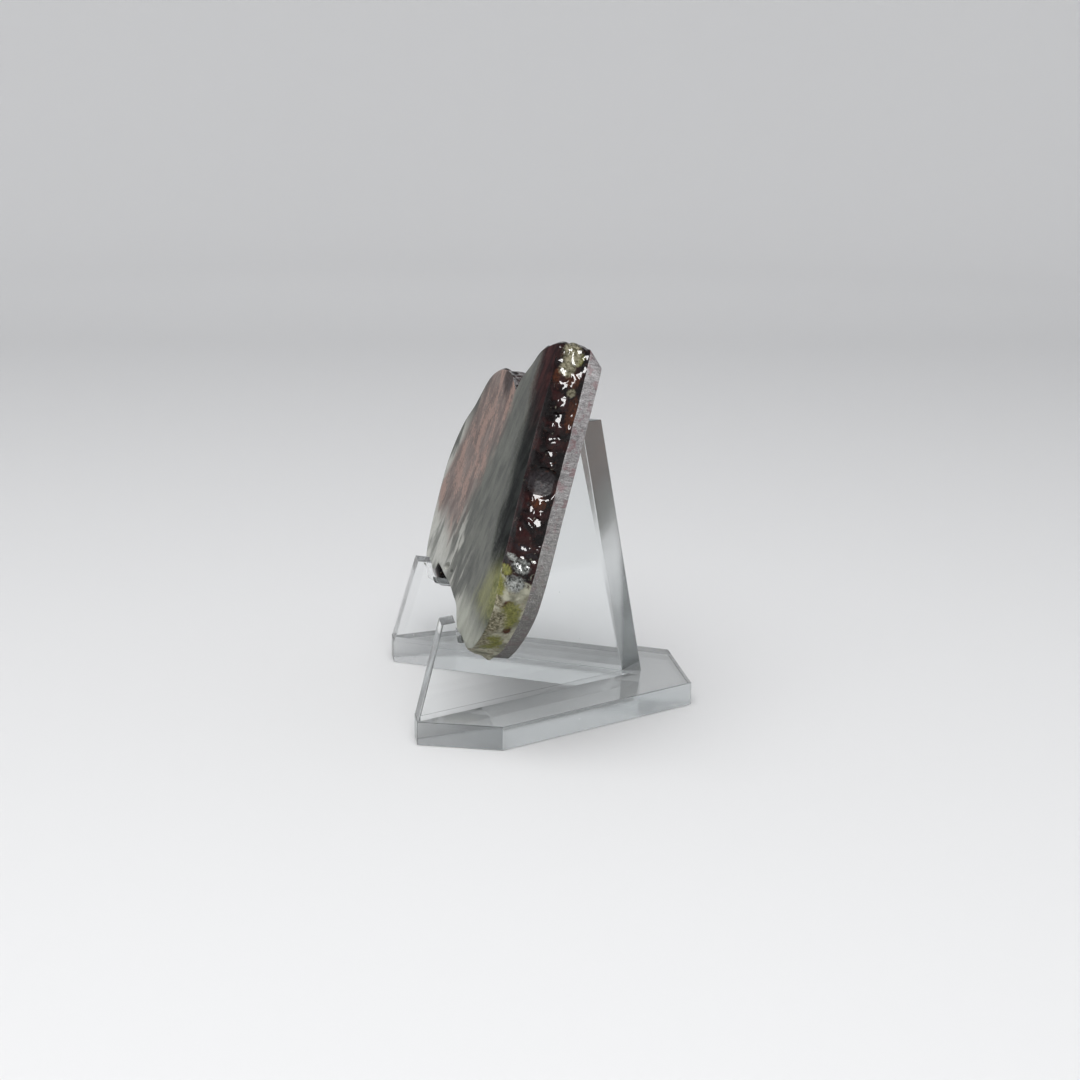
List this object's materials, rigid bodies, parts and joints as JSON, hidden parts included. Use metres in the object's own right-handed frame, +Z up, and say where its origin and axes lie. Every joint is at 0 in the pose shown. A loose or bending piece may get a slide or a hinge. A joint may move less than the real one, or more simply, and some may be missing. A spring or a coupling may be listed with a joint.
{
  "type": "native copper slice on a clear display easel",
  "caption": "Sawn and polished slice of copper-bearing rock with its natural rind, leaning on a clear acrylic easel that stands flat on a table.",
  "frame": {"origin": "on the table, under the middle of the whole object's box", "axes": "+X along the slice towards its tall end, -Y the way the polished face looks, +Z up"},
  "size_m": [0.0923, 0.0552, 0.0765],
  "materials": {
    "stone": "polished front, lacquered natural rind",
    "acrylic": "clear polished sheet with flame-polished and sawn edges"
  },
  "bodies": {
    "root": {"copper_slice": "stone", "base_plate": "acrylic", "right_upright": "acrylic", "left_upright": "acrylic"}
  },
  "joints": []
}
